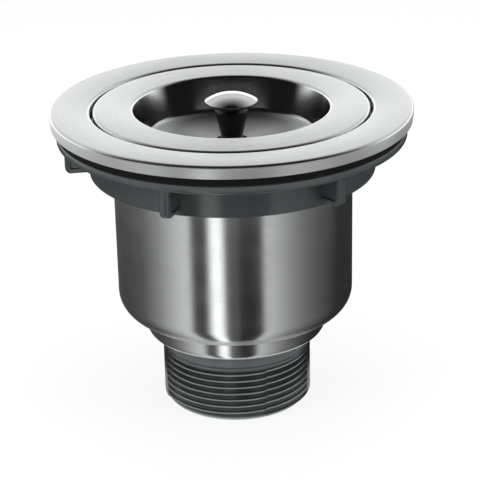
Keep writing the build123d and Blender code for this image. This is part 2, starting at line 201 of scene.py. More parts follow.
class LockNutSizes(PropertyGroup):
    """Sizes of the lock nut."""

    flange_radius: length("Flange radius", "Outside of the flange", 54.3)
    flange_thickness: length("Flange thickness", "Thickness of the flange", 2.75)
    top_edge: length("Top edge", "Rounding of the flange's top", 0.3)
    flange_edge: length("Flange edge", "Rounding of the flange's underside", 1.0)
    wall_radius: length("Wall radius", "Outside of the wall", 44.6)
    wall_root: length("Wall root", "Rounding between the flange and the wall", 0.8)
    bottom_edge: length("Bottom edge", "Rounding of the wall's foot", 0.4)
    bore_radius: length("Bore radius", "Crests of the nut's thread", 41.7)
    lug_count: IntProperty(
        name="Lug count", description="Lugs round the nut", default=6, min=1, max=24
    )
    lug_first_angle: turn("First lug", "Place of the first lug round the nut", -112.5)
    lug_tip_radius: length("Lug tip", "Outer face of the lugs", 52.2)
    lug_thickness: length("Lug thickness", "Thickness of a lug", 3.4)
    lug_height: length("Lug height", "Height of a lug under the flange", 9.3)
    lug_corner: length("Lug corner", "Rounding of a lug's outer corner", 1.8)
    lug_edge: length("Lug edge", "Rounding of a lug's edges", 0.8)
    lug_border: length("Lug border", "Raised border round the panels of a lug", 1.5)
    lug_panel_slope: length("Panel slope", "Slope round those panels", 0.35)
    lug_panel_depth: length("Panel depth", "Sink of those panels", 0.5)


class OutletSizes(PropertyGroup):
    """Sizes of the threaded outlet."""

    collar_height: length("Collar height", "Height of the collar", 2.7)
    collar_edge: length("Collar edge", "Rounding of the collar's top", 0.35)
    collar_foot_edge: length("Collar foot edge", "Rounding of the collar's foot", 0.2)
    relief_depth: length("Relief depth", "Groove between the collar and the thread", 0.5)
    relief_height: length("Relief height", "Height of that groove", 0.5)
    relief_slope: length("Relief slope", "Height of the slope under it", 0.3)
    relief_edge: length("Relief edge", "Rounding between that slope and the thread", 0.1)
    thread_radius: length("Thread radius", "Crests of the thread", 23.82)
    thread_pitch: length("Thread pitch", "11.5 turns to the inch", 2.209)
    thread_depth: length("Thread depth", "Depth of the thread", 0.55)
    thread_start: length("Thread start", "From the outlet's end to the thread", 0.3)
    thread_end: length("Thread end", "From the collar to the thread", 0.9)
    run_in: length("Run-in", "Fading of the thread at the outlet's end", 0.4)
    run_out: length("Run-out", "Fading of the thread under the collar", 2.0)
    crest_share: share("Crest share", "Flat crest of a turn", 0.1)
    flank_share: share("Flank share", "Crest and flanks of a turn", 0.5)
    parting_angle: turn("Parting angle", "Place of the mould's parting line", -69.0)
    parting_step: share("Parting step", "Step of the thread there, as part of a turn", 0.12)
    flat_share: share("Flat share", "Where the flat sides start, as a cosine from X", 0.955)
    flat_fade: share("Flat fade", "Fading of the thread beside them", 0.03)
    chamfer: length("Chamfer", "Chamfer at the outlet's end", 1.5)
    chamfer_edge: length("Chamfer edge", "Rounding between the thread and the chamfer", 0.4)
    end_edge: length("End edge", "Rounding outside the outlet's end", 0.2)
    mouth_edge: length("Mouth edge", "Rounding inside the outlet's end", 0.3)
    bore_radius: length("Bore radius", "Bore at the outlet's end", 20.3)
    bore_length: length("Bore length", "Length of that bore", 11.6)
    throat_radius: length("Throat radius", "Bore above it", 19.8)
    arm_thickness: length("Arm thickness", "Thickness of the spider's arms", 2.6)
    arm_height: length("Arm height", "Height of the spider's arms", 7.0)
    arm_edge: length("Arm edge", "Rounding under the arms", 0.6)
    arm_root: length("Arm root", "How far an arm reaches into the boss", 0.6)
    arm_tip: length("Arm tip", "How far an arm reaches into the outlet's wall", 0.3)
    boss_radius: length("Boss radius", "Outside of the boss", 6.8)
    boss_height: length("Boss height", "Height of the boss", 12.0)
    boss_top_edge: length("Boss top edge", "Rounding of the boss's top", 0.4)
    boss_foot_edge: length("Boss foot edge", "Rounding of the boss's foot", 0.6)
    insert_radius: length("Insert radius", "Seat of the brass insert", 4.22)
    insert_length: length("Insert length", "Depth of that seat", 8.0)
    screw_hole: length("Screw hole", "Hole under the insert", 3.25)
    screw_hole_edge: length("Screw hole edge", "Rounding of that hole's foot", 0.2)


class Finishes(PropertyGroup):
    """Colours and gloss of the pieces."""

    body_steel: colour("Body steel", "Brushed steel of the body", 0.69, 0.71, 0.70)
    lid_steel: colour("Lid steel", "Brushed steel of the lid", 0.71, 0.73, 0.72)
    cap_steel: colour("Cap steel", "Polished steel of the cap", 0.75, 0.75, 0.75)
    basket_steel: colour("Basket steel", "Plain steel of basket and grate", 0.66, 0.66, 0.65)
    screw_steel: colour("Screw steel", "Plain steel of the screws", 0.6, 0.6, 0.6)
    insert_brass: colour("Insert brass", "Brass of the insert", 0.72, 0.58, 0.32)
    knob_black: colour("Knob black", "Black plastic of the knob", 0.004, 0.004, 0.004)
    nut_grey: colour("Nut grey", "Dark grey plastic of the nut", 0.038, 0.043, 0.044)
    outlet_grey: colour("Outlet grey", "Dark grey plastic of the outlet", 0.042, 0.047, 0.048)
    rubber_black: colour("Rubber black", "Black rubber of the seals", 0.004, 0.004, 0.004)
    washer_grey: colour("Washer grey", "Thin slip ring", 0.03, 0.03, 0.03)
    brushing: share("Brushing", "How far the brushing stretches reflections", 0.8)
    body_roughness: share("Body roughness", "Brushed flange and cup", 0.24)
    skirt_roughness: share("Skirt roughness", "Satin skirt of the turned-down rim", 0.45)
    junction_roughness: share("Junction roughness", "Worked steel between cup and step", 0.46)
    step_roughness: share("Step roughness", "Polished step", 0.26)
    lid_roughness: share("Lid roughness", "Brushed ring of the lid", 0.26)
    dish_wall_roughness: share("Dish wall roughness", "Drawn wall of the dish", 0.15)
    dish_floor_roughness: share("Dish floor roughness", "Satin floor of the dish", 0.45)
    cap_roughness: share("Cap roughness", "Polished cap", 0.07)
    basket_roughness: share("Basket roughness", "Basket, bail and grate", 0.3)
    screw_roughness: share("Screw roughness", "Screws and their washers", 0.34)
    brass_roughness: share("Brass roughness", "Turned insert", 0.3)
    knob_roughness: share("Knob roughness", "Moulded knob", 0.16)
    knob_coat: share("Knob coat", "Gloss over the knob", 0.15)
    nut_roughness: share("Nut roughness", "Moulded nut", 0.17)
    outlet_roughness: share("Outlet roughness", "Moulded outlet", 0.34)
    rubber_roughness: share("Rubber roughness", "Seals and gasket", 0.6)
    rubber_shine: share("Rubber shine", "Strength of the rubber's reflections", 0.12)
    washer_roughness: share("Washer roughness", "Thin slip ring", 0.7)
    # Painted shade in the roots of the outlet's thread and painted highlight on its crests and
    # collar, as factors on its base colour
    root_shade: factor("Root tone", "Brightness of the outlet's thread in its roots", 0.3)
    crest_highlight: factor("Crest tone", "Brightness of its rubbed crests", 5.0)
    # Painted highlight on the outlet's chamfered end, as a factor on its base colour
    end_highlight: factor("End tone", "Brightness of the outlet's end", 9.0)


class StageSizes(PropertyGroup):
    """Camera, floor and reflection cards."""

    camera_distance: length("Camera distance", "From the camera to the lid", 540)
    camera_elevation: turn("Camera elevation", "Height of the camera over the lid", 18.1)
    camera_roll: turn("Camera roll", "Turn of the picture", 1.32)
    focal_length: length("Focal length", "Lens of the camera", 130.875)
    floor_half: length("Floor half", "From the axis to the floor's edges", 3000)
    card_radius: length("Card radius", "From the axis to the ring of cards", 120)
    card_top: length("Card top", "Top of the ring of cards above the floor", 60)
    card_foot_radius: length("Card foot", "Inner edge of the cards that lie on the floor", 34)
    card_lift: length("Card lift", "Lying cards above the floor", 0.5)
    rim_card_top: length("Rim card top", "Top of the two cards that light the rim", 73)
    dark_card_top: length("Dark card top", "Top of the dark card on the right", 96)
    mirror_radius: length("Mirror radius", "Radius of the cup that the cards are set out for", 37.45)
    mirror_spread: factor("Mirror spread", "Turn of a reflection for a turn of the cup's face", 2.09)


def bent_line(corners):
    """Points along straight runs; a corner's third number is the radius of its bend."""
    line = [Vector(corners[0][:2])]
    for before, corner, after in zip(corners, corners[1:], corners[2:]):
        bend = corner[2] if len(corner) > 2 else 0.0
        corner = Vector(corner[:2])
        if bend <= 0:
            line.append(corner)
            continue
        back = (Vector(before[:2]) - corner).normalized()
        ahead = (Vector(after[:2]) - corner).normalized()
        half = back.angle(ahead) / 2
        middle = corner + (back + ahead).normalized() * bend / sin(half)
        spoke = corner + back * bend / tan(half) - middle
        sweep = pi - 2 * half
        side = 1 if back.x * ahead.y - back.y * ahead.x < 0 else -1
        steps = max(2, ceil(sweep / BEND_STEP))
        for step in range(steps + 1):
            line.append(middle + Matrix.Rotation(side * sweep * step / steps, 2) @ spoke)
    line.append(Vector(corners[-1][:2]))
    return line


def left_of(line, amount):
    """The same line moved to its left."""
    least_cosine = 0.3
    moved = []
    for place, point in enumerate(line):
        before = line[max(place - 1, 0)]
        after = line[min(place + 1, len(line) - 1)]
        into = (point - before).normalized()
        out = (after - point).normalized()
        heading = (into + out).normalized()
        normal = Vector((-heading.y, heading.x))
        spread = 1.0
        if into.length > 0 and out.length > 0:
            spread = 1 / max(least_cosine, cos(into.angle(out) / 2))
        moved.append(point + normal * amount * spread)
    return moved


def sheet_section(corners, thickness):
    """Closed section of a pressed sheet that lies to the left of the line of its corners."""
    face_line = bent_line(corners)
    return face_line + left_of(face_line, thickness)[::-1]


def divided(section, longest):
    """A section with its long straight runs divided."""
    fine = []
    for point, following in zip(section, section[1:] + section[:1]):
        parts = max(1, ceil((following - point).length / longest))
        for part in range(parts):
            fine.append(point.lerp(following, part / parts))
    return fine


def new_object(name, work):
    """A scene object that takes over a mesh in work."""
    mesh = bpy.data.meshes.new(name)
    work.to_mesh(mesh)
    work.free()
    made = bpy.data.objects.new(name, mesh)
    bpy.context.scene.collection.objects.link(made)
    return made


def shade(mesh):
    """Shade a mesh smooth between sharp edges."""
    mesh.shade_smooth()
    mesh.set_sharp_from_angle(angle=SHARP_ANGLE)


def finished_object(name, work):
    """An object whose doubles are welded and whose faces point outwards."""
    bmesh.ops.remove_doubles(work, verts=work.verts, dist=WELD_DISTANCE)
    bmesh.ops.recalc_face_normals(work, faces=work.faces)
    made = new_object(name, work)
    shade(made.data)
    return made


def add_turned(work, section, closed=True):
    """Turn a section of radius and level round Z and add it to the mesh."""
    rings = []
    for place in range(RING_SEGMENTS):
        angle = 2 * pi * place / RING_SEGMENTS
        across, along = cos(angle), sin(angle)
        rings.append([work.verts.new((p.x * across, p.x * along, p.y)) for p in section])
    count = len(section)
    for ring, following in zip(rings, rings[1:] + rings[:1]):
        for row in range(count if closed else count - 1):
            after = (row + 1) % count
            work.faces.new((ring[row], following[row], following[after], ring[after]))


def turned(name, section, closed=True):
    """An object made of a section turned round Z."""
    work = bmesh.new()
    add_turned(work, section, closed)
    return finished_object(name, work)


def join_sides(work, near_side, far_side):
    """Close two like outlines with a wall between them and a face on each."""
    for place in range(len(near_side)):
        after = (place + 1) % len(near_side)
        work.faces.new((near_side[place], far_side[place], far_side[after], near_side[after]))
    work.faces.new(near_side)
    work.faces.new(far_side[::-1])


def wear(piece, body, slot, material, *nodes):
    """Give a finished piece its material and body, and hide the nodes that it stands for; the slot
    argument is not used.
    """
    piece.data.materials.clear()
    piece.data.materials.append(material)
    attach(piece, body)
    if nodes:
        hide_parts(*nodes)


def add_node(tree, kind, inputs=None, **settings):
    """Add a node, then set its options and set or link its inputs."""
    made = tree.nodes.new(kind)
    for name, value in settings.items():
        setattr(made, name, value)
    for name, value in (inputs or {}).items():
        if isinstance(value, bpy.types.NodeSocket):
            tree.links.new(value, made.inputs[name])
        else:
            made.inputs[name].default_value = value
    return made


def reckon(tree, operation, *values):
    """A maths node's result."""
    return add_node(
        tree, "ShaderNodeMath", dict(enumerate(values)), operation=operation
    ).outputs[0]


def multiply(tree, first, *others):
    """The product of several values."""
    for other in others:
        first = reckon(tree, "MULTIPLY", first, other)
    return first


def separated(tree, vector):
    """X, Y and Z of a vector."""
    return add_node(tree, "ShaderNodeSeparateXYZ", {0: vector}).outputs


def combined(tree, *parts):
    """A vector from its X, Y and Z."""
    return add_node(tree, "ShaderNodeCombineXYZ", dict(enumerate(parts))).outputs[0]


def object_axes(tree):
    """X, Y and Z of the shaded point in its object."""
    return separated(tree, add_node(tree, "ShaderNodeTexCoord").outputs["Object"])


def radius_here(tree, axes):
    """Distance from the Z axis."""
    flat = combined(tree, axes[0], axes[1])
    return add_node(tree, "ShaderNodeVectorMath", {0: flat}, operation="LENGTH").outputs["Value"]


def outwards_here(tree, axes):
    """Direction away from the Z axis."""
    flat = combined(tree, axes[0], axes[1])
    return add_node(tree, "ShaderNodeVectorMath", {0: flat}, operation="NORMALIZE").outputs[0]


def ramp_between(tree, value, start, end, smooth=False):
    """0 up to a value's start, 1 from its end on, and between them a rise."""
    return add_node(
        tree,
        "ShaderNodeMapRange",
        {"Value": value, "From Min": start, "From Max": end},
        interpolation_type="SMOOTHSTEP" if smooth else "LINEAR",
    ).outputs[0]


def near(tree, value, middle, full, gone, smooth=False):
    """1 where a value is close to its middle, 0 from a wider distance on."""
    away = reckon(tree, "ABSOLUTE", reckon(tree, "SUBTRACT", value, middle))
    return ramp_between(tree, away, gone, full, smooth)


def mix_values(tree, mask, first, second):
    """The first value where a mask is 0, the second where it is 1, and between them a mix."""
    return add_node(tree, "ShaderNodeMix", {0: mask, 2: first, 3: second}).outputs[0]


def mix_colours(tree, mask, first, second):
    """The colour between two others, whose sockets are found by their place in the node."""
    made = add_node(tree, "ShaderNodeMix", {0: mask}, data_type="RGBA")
    for socket, value in zip((made.inputs[6], made.inputs[7]), (first, second)):
        if isinstance(value, bpy.types.NodeSocket):
            tree.links.new(value, socket)
        else:
            socket.default_value = (*value, 1.0)
    return made.outputs[2]


def start_group(name, kind, inputs, outputs):
    """A node group with its entry and exit nodes, from named sockets."""
    group = bpy.data.node_groups.new(name, kind)
    for label, (socket_type, value) in inputs.items():
        socket = group.interface.new_socket(label, in_out="INPUT", socket_type=socket_type)
        if value is not None:
            socket.default_value = value
    for label, socket_type in outputs.items():
        group.interface.new_socket(label, in_out="OUTPUT", socket_type=socket_type)
    return group, group.nodes.new("NodeGroupInput"), group.nodes.new("NodeGroupOutput")


def turned_grain_group():
    """Marks of brushing round the axis: fine across the brush, long along it."""
    group, entry, result = start_group(
        "turned_grain",
        "ShaderNodeTree",
        {"Lines": (NUMBER, 2500.0), "Length": (NUMBER, 3.0), "Seed": (NUMBER, 0.0)},
        {"Fine": NUMBER, "Broad": NUMBER},
    )
    height_share = 0.83
    broad_share = 0.08
    fine_detail = 4.0
    broad_detail = 3.0
    axes = object_axes(group)
    section = reckon(group, "MULTIPLY_ADD", axes[2], height_share, radius_here(group, axes))
    lines = multiply(group, section, entry.outputs["Lines"])
    directions = separated(group, outwards_here(group, axes))
    along = [multiply(group, directions[axis], entry.outputs["Length"]) for axis in (0, 1)]
    broad_lines = multiply(group, lines, broad_share)
    for label, across, detail in (
        ("Fine", lines, fine_detail),
        ("Broad", broad_lines, broad_detail),
    ):
        marks = add_node(
            group,
            "ShaderNodeTexNoise",
            {
                "Vector": combined(group, across, *along),
                "W": entry.outputs["Seed"],
                "Scale": 1.0,
                "Detail": detail,
            },
            noise_dimensions="4D",
        )
        group.links.new(marks.outputs["Fac"], result.inputs[label])
    return group


def skin_group():
    """Unevenness of a moulded, rolled or cast surface, with sparse specks."""
    group, entry, result = start_group(
        "surface_skin",
        "ShaderNodeTree",
        {"Scale": (NUMBER, 900.0), "Speck Scale": (NUMBER, 1400.0), "Speck Share": (NUMBER, 0.25)},
        {"Unevenness": NUMBER, "Specks": NUMBER},
    )
    speck_core = 0.02
    patch_scale = 180.0
    patch_start, patch_full = 0.56, 0.68
    place = add_node(group, "ShaderNodeTexCoord").outputs["Object"]
    uneven = add_node(
        group,
        "ShaderNodeTexNoise",
        {"Vector": place, "Scale": entry.outputs["Scale"], "Detail": 5.0, "Roughness": 0.55},
    )
    cells = add_node(
        group, "ShaderNodeTexVoronoi", {"Vector": place, "Scale": entry.outputs["Speck Scale"]}
    )
    speck = ramp_between(
        group, cells.outputs["Distance"], entry.outputs["Speck Share"], speck_core
    )
    patches = add_node(
        group, "ShaderNodeTexNoise", {"Vector": place, "Scale": patch_scale, "Detail": 1.0}
    )
    here = ramp_between(group, patches.outputs["Fac"], patch_start, patch_full)
    group.links.new(uneven.outputs["Fac"], result.inputs["Unevenness"])
    group.links.new(multiply(group, speck, here), result.inputs["Specks"])
    return group


def use_group(tree, name, **values):
    """Place a shared group in a material with its own values, built when it is first used."""
    makers = {"turned_grain": turned_grain_group, "surface_skin": skin_group}
    made = tree.nodes.new("ShaderNodeGroup")
    made.node_tree = bpy.data.node_groups.get(name) or makers[name]()
    for label, value in values.items():
        made.inputs[label.replace("_", " ")].default_value = value
    return made.outputs


def start_material(name, base, **settings):
    """A material with its base colour and the shader's constant values."""
    material = bpy.data.materials.new(name)
    material.use_nodes = True
    inputs = material.node_tree.nodes["Principled BSDF"].inputs
    inputs["Base Color"].default_value = (*base, 1.0)
    for label, value in settings.items():
        inputs[label.replace("_", " ")].default_value = value
    return material


def drive(tree, **values):
    """Link values to the inputs of a material's shader."""
    inputs = tree.nodes["Principled BSDF"].inputs
    for label, value in values.items():
        tree.links.new(value, inputs[label.replace("_", " ")])


def scaled(base, amount):
    """A colour made darker or lighter by a factor."""
    return tuple(part * amount for part in base)


def paint_surface(tree, base, roughness, marks, haze, specks, tones, speck_tone, gloss, depth):
    """Vary colour along the marks and roughness along the haze, and bump the marks.

    Tones and gloss are factors on the base colour and on the roughness, at a mask's 0 and 1.
    """
    tone = mix_colours(tree, marks, scaled(base, tones[0]), scaled(base, tones[1]))
    tone = mix_colours(tree, specks, tone, scaled(base, speck_tone))
    rough = mix_values(tree, haze, roughness * gloss[0], roughness * gloss[1])
    relief = add_node(tree, "ShaderNodeBump", {"Height": marks, "Distance": depth, "Strength": 1.0})
    drive(tree, Base_Color=tone, Roughness=rough, Normal=relief.outputs["Normal"])
    return rough


def brushed_steel(name, base, roughness, depth, seed):
    """Stainless steel brushed round the axis, and the value of its roughness."""
    brushing = bpy.context.scene.waste_finishes.brushing
    material = start_material(
        name, base, Metallic=1.0, Anisotropic=brushing, Anisotropic_Rotation=0.25
    )
    tree = material.node_tree
    grain = use_group(tree, "turned_grain", Lines=2500.0, Length=2.2, Seed=seed)
    skin = use_group(tree, "surface_skin", Scale=260.0)
    rough = paint_surface(
        tree,
        base,
        roughness,
        marks=grain["Fine"],
        haze=grain["Broad"],
        specks=skin["Specks"],
        tones=(0.90, 1.08),
        speck_tone=0.55,
        gloss=(0.75, 1.3),
        depth=depth,
    )
    return material, rough


def body_steel():
    """Brushed flange and cup, satin skirt of the rim and polished step."""
    looks = bpy.context.scene.waste_finishes
    sizes = bpy.context.scene.waste_body
    step_fade = 1.0 * MM
    junction_rise = 0.9 * MM
    junction_full, junction_gone = 1.2 * MM, 2.4 * MM
    skirt_width = 1.2 * MM
    skirt_start, skirt_full = 0.55 * MM, 0.85 * MM
    material, rough = brushed_steel(
        "body_steel", looks.body_steel, looks.body_roughness, depth=0.004 * MM, seed=0.0
    )
    tree = material.node_tree
    axes = object_axes(tree)
    cup_floor = sizes.lip_height - sizes.ledge_drop - sizes.shoulder_drop - sizes.cup_depth
    under_cup = cup_floor - sizes.sheet
    step = ramp_between(tree, axes[2], under_cup + step_fade, under_cup - step_fade, smooth=True)
    rough = mix_values(tree, step, rough, looks.step_roughness)
    junction = near(
        tree, axes[2], under_cup + junction_rise, junction_full, junction_gone, smooth=True
    )
    rough = mix_values(tree, junction, rough, looks.junction_roughness)
    inner_edge = sizes.rim_radius - skirt_width
    outermost = reckon(tree, "GREATER_THAN", radius_here(tree, axes), inner_edge)
    below = ramp_between(
        tree, axes[2], sizes.rim_height - skirt_start, sizes.rim_height - skirt_full
    )
    skirt = multiply(tree, outermost, below)
    drive(tree, Roughness=mix_values(tree, skirt, rough, looks.skirt_roughness))
    return material


def lid_steel():
    """Brushed ring of the lid, smooth drawn wall and satin floor of its dish."""
    looks = bpy.context.scene.waste_finishes
    sizes = bpy.context.scene.waste_lid
    wall_full, wall_gone = 1.2 * MM, 1.7 * MM
    floor_inset = 0.3 * MM
    material, rough = brushed_steel(
        "lid_steel", looks.lid_steel, looks.lid_roughness, depth=0.0018 * MM, seed=5.0
    )
    tree = material.node_tree
    radius = radius_here(tree, object_axes(tree))
    wall_middle = (sizes.dish_radius + sizes.dish_floor_radius) / 2
    wall = near(tree, radius, wall_middle, wall_full, wall_gone)
    rough = mix_values(tree, wall, rough, looks.dish_wall_roughness)
    floor = reckon(tree, "LESS_THAN", radius, sizes.dish_floor_radius - floor_inset)
    drive(tree, Roughness=mix_values(tree, floor, rough, looks.dish_floor_roughness))
    return material


def plain_metal(name, base, roughness, lines=1500.0):
    """Plain turned or rolled metal."""
    material = start_material(name, base, Metallic=1.0)
    tree = material.node_tree
    grain = use_group(tree, "turned_grain", Lines=lines, Length=1.4, Seed=3.0)
    skin = use_group(tree, "surface_skin", Scale=400.0)
    paint_surface(
        tree,
        base,
        roughness,
        marks=grain["Fine"],
        haze=skin["Unevenness"],
        specks=skin["Specks"],
        tones=(0.88, 1.1),
        speck_tone=0.6,
        gloss=(0.7, 1.3),
        depth=0.003 * MM,
    )
    return material


def moulded_plastic(name, base, roughness, depth, skin_scale=700.0, **settings):
    """Moulded plastic or rubber with a fine skin."""
    material = start_material(name, base, **settings)
    tree = material.node_tree
    skin = use_group(tree, "surface_skin", Scale=skin_scale, Speck_Scale=1100.0)
    paint_surface(
        tree,
        base,
        roughness,
        marks=skin["Unevenness"],
        haze=skin["Unevenness"],
        specks=skin["Specks"],
        tones=(0.9, 1.1),
        speck_tone=1.25,
        gloss=(0.85, 1.15),
        depth=depth,
    )
    return material


def outlet_plastic():
    """Dark plastic of the outlet, with painted highlights on the thread's crests, the collar and the
    chamfered end, and painted shade in the thread's roots and on the flat sides.
    """
    looks = bpy.context.scene.waste_finishes
    sizes = bpy.context.scene.waste_outlet
    base = looks.outlet_grey
    flank_share = 0.55
    crest_margin = 0.02 * MM
    glint_power = 2.2
    end_full_share = 0.4
    collar_start, collar_full = 17.5 * MM, 18.5 * MM
    collar_highlight = 0.42
    side_gone, side_full = 0.95, 0.8
    material = moulded_plastic(
        "outlet_plastic", base, looks.outlet_roughness, depth=0.002 * MM, skin_scale=500.0
    )
    tree = material.node_tree
    axes = object_axes(tree)
    radius = radius_here(tree, axes)
    # Painted highlight on the thread's crests, fading down the flanks; the roots keep the painted
    # shade of the root colour
    glint_from = sizes.thread_radius - sizes.thread_depth * (1 - flank_share)
    rise = ramp_between(tree, radius, glint_from, sizes.thread_radius - crest_margin)
    # Above the thread the collar gets a share of the painted highlight
    above = ramp_between(
        tree, axes[2], outlet_end_level + collar_start, outlet_end_level + collar_full
    )
    crest_glint = multiply(
        tree, reckon(tree, "POWER", rise, glint_power), reckon(tree, "SUBTRACT", 1.0, above)
    )
    # Towards the flat sides the painted highlight fades out, so they keep the painted shade of the
    # roots
    sideways = reckon(tree, "DIVIDE", reckon(tree, "ABSOLUTE", axes[0]), radius)
    facing = ramp_between(tree, sideways, side_gone, side_full)
    highlit = reckon(tree, "MAXIMUM", crest_glint, multiply(tree, above, collar_highlight))
    highlit = multiply(tree, highlit, facing)
    # Painted highlight on the chamfered end
    end_rim = ramp_between(
        tree,
        axes[2],
        outlet_end_level + sizes.chamfer,
        outlet_end_level + sizes.chamfer * end_full_share,
    )
    tone = mix_colours(tree, highlit, scaled(base, looks.root_shade), scaled(base, looks.crest_highlight))
    drive(tree, Base_Color=mix_colours(tree, end_rim, tone, scaled(base, looks.end_highlight)))
    return material


def finish_tree(group, geometry, material, result):
    """End a geometry tree with real geometry in its material."""
    real = add_node(group, "GeometryNodeRealizeInstances", {0: geometry}).outputs[0]
    coloured = add_node(
        group, "GeometryNodeSetMaterial", {"Geometry": real, "Material": material}
    ).outputs[0]
    group.links.new(coloured, result.inputs["Geometry"])


def thread_group():
    """Geometry tree that presses a right-hand thread into a turned surface."""
    group, entry, result = start_group(
        "pressed_thread",
        "GeometryNodeTree",
        {
            "Geometry": ("NodeSocketGeometry", None),
            "Pitch": (NUMBER, 3 * MM),
            "Depth": (NUMBER, 0.5 * MM),
            "Crest Share": (NUMBER, 0.3),
            "Flank Share": (NUMBER, 0.4),
            "Lowest": (NUMBER, -100 * MM),
            "Highest": (NUMBER, 0.0),
            "Run-in": (NUMBER, 0.4 * MM),
            "Run-out": (NUMBER, 2 * MM),
            "Parting Angle": (NUMBER, 0.0),
            "Parting Step": (NUMBER, 0.0),
            "Flat Share": (NUMBER, 1.0),
            "Flat Fade": (NUMBER, 0.03),
            "Inner Radius": (NUMBER, 0.0),
            "Outer Radius": (NUMBER, 1.0),
            "Material": ("NodeSocketMaterial", None),
        },
        {"Geometry": "NodeSocketGeometry"},
    )
    values = entry.outputs
    axes = separated(group, group.nodes.new("GeometryNodeInputPosition").outputs[0])
    radius = radius_here(group, axes)

    # Height within one turn, from 0 on a crest to a half in a root
    angle = reckon(group, "ARCTAN2", axes[1], axes[0])
    turns = reckon(group, "DIVIDE", angle, 2 * pi)
    from_parting = reckon(group, "SUBTRACT", angle, values["Parting Angle"])
    far_half = reckon(group, "GREATER_THAN", reckon(group, "SINE", from_parting), 0.0)
    slip = reckon(group, "MULTIPLY_ADD", far_half, values["Parting Step"], turns)
    rise = reckon(group, "DIVIDE", axes[2], values["Pitch"])
    wave = reckon(group, "PINGPONG", reckon(group, "SUBTRACT", rise, slip), 0.5)
    half_crest = multiply(group, values["Crest Share"], 0.5)
    half_flank = multiply(group, values["Flank Share"], 0.5)
    groove = ramp_between(group, wave, half_crest, half_flank, smooth=True)

    # Where the thread is: between its ends, off the flat sides and in the outer wall only
    run_in_end = reckon(group, "ADD", values["Lowest"], values["Run-in"])
    run_out_end = reckon(group, "SUBTRACT", values["Highest"], values["Run-out"])
    foot = ramp_between(group, axes[2], values["Lowest"], run_in_end, smooth=True)
    head = ramp_between(group, axes[2], values["Highest"], run_out_end, smooth=True)
    sideways = reckon(group, "ABSOLUTE", reckon(group, "COSINE", angle))
    flat_end = reckon(group, "SUBTRACT", values["Flat Share"], values["Flat Fade"])
    off_flats = ramp_between(group, sideways, values["Flat Share"], flat_end, smooth=True)
    outside = reckon(group, "GREATER_THAN", radius, values["Inner Radius"])
    inside = reckon(group, "LESS_THAN", radius, values["Outer Radius"])
    here = multiply(group, foot, head, outside, inside, off_flats)

    press = multiply(group, groove, here, values["Depth"], -1.0)
    shift = add_node(
        group,
        "ShaderNodeVectorMath",
        {0: outwards_here(group, axes), "Scale": press},
        operation="SCALE",
    ).outputs[0]
    moved = add_node(
        group, "GeometryNodeSetPosition", {"Geometry": values["Geometry"], "Offset": shift}
    ).outputs[0]
    finish_tree(group, moved, values["Material"], result)
    return group


def lug_group():
    """Geometry tree that sets like lugs round the axis and joins them to their ring."""
    group, entry, result = start_group(
        "lugs_round_ring",
        "GeometryNodeTree",
        {
            "Geometry": ("NodeSocketGeometry", None),
            "Lug": ("NodeSocketObject", None),
            "Count": ("NodeSocketInt", 6),
            "First Angle": (NUMBER, 0.0),
            "Material": ("NodeSocketMaterial", None),
        },
        {"Geometry": "NodeSocketGeometry"},
    )
    values = entry.outputs
    lug = add_node(group, "GeometryNodeObjectInfo", {"Object": values["Lug"]}).outputs["Geometry"]
    places = add_node(
        group, "GeometryNodeMeshLine", {"Count": values["Count"], "Offset": (0.0, 0.0, 0.0)}
    ).outputs[0]
    number_here = group.nodes.new("GeometryNodeInputIndex").outputs[0]
    step = reckon(group, "DIVIDE", 2 * pi, values["Count"])
    angle = reckon(group, "MULTIPLY_ADD", number_here, step, values["First Angle"])
    copies = add_node(
        group,
        "GeometryNodeInstanceOnPoints",
        {"Points": places, "Instance": lug, "Rotation": combined(group, 0.0, 0.0, angle)},
    ).outputs[0]
    joined = group.nodes.new("GeometryNodeJoinGeometry")
    group.links.new(values["Geometry"], joined.inputs[0])
    group.links.new(copies, joined.inputs[0])
    finish_tree(group, joined.outputs[0], values["Material"], result)
    return group


def grow(piece, tree, **values):
    """Put a piece through a geometry tree and keep the result as its plain mesh."""
    modifier = piece.modifiers.new(tree.name, "NODES")
    modifier.node_group = tree
    for item in tree.interface.items_tree:
        label = item.name.replace(" ", "_").replace("-", "_")
        if item.in_out == "INPUT" and label in values:
            modifier[item.identifier] = values[label]
    view = bpy.context.evaluated_depsgraph_get()
    made = bpy.data.meshes.new_from_object(piece.evaluated_get(view))
    piece.modifiers.clear()
    piece.data = made
    shade(made)


class WASTE_OT_strainer_body(Operator):
    """Build the pressed body: flange, lid pocket, well, cup and step."""

    bl_idname = "waste.strainer_body"
    bl_label = "Strainer Body"

    def execute(self, context):
        sizes = context.scene.waste_body
        ledge = sizes.lip_height - sizes.ledge_drop
        shoulder = ledge - sizes.shoulder_drop
        cup_floor = shoulder - sizes.cup_depth
        step_top = cup_floor - sizes.floor_fall
        step_floor = step_top - sizes.step_depth
        section = sheet_section(
            [
                (sizes.rim_foot_radius, 0.0),
                (sizes.rim_radius, sizes.rim_height, sizes.rim_bend),
                (sizes.pocket_radius, sizes.lip_height, sizes.lip_bend),
                (sizes.pocket_radius, ledge, sizes.ledge_bend),
                (sizes.well_radius, ledge, sizes.well_bend),
                (sizes.well_radius, shoulder, sizes.shoulder_bend),
                (sizes.cup_radius, shoulder, sizes.cup_lip_bend),
                (sizes.cup_radius, cup_floor, sizes.cup_corner),
                (sizes.step_radius, step_top, sizes.step_top_bend),
                (sizes.step_radius, step_floor, sizes.step_corner),
                (sizes.waste_radius, step_floor),
            ],
            sizes.sheet,
        )
        body = turned("strainer_body_pressed", section)
        wear(body, "strainer", "body_steel", body_steel(), "strainer_body")
        return {"FINISHED"}


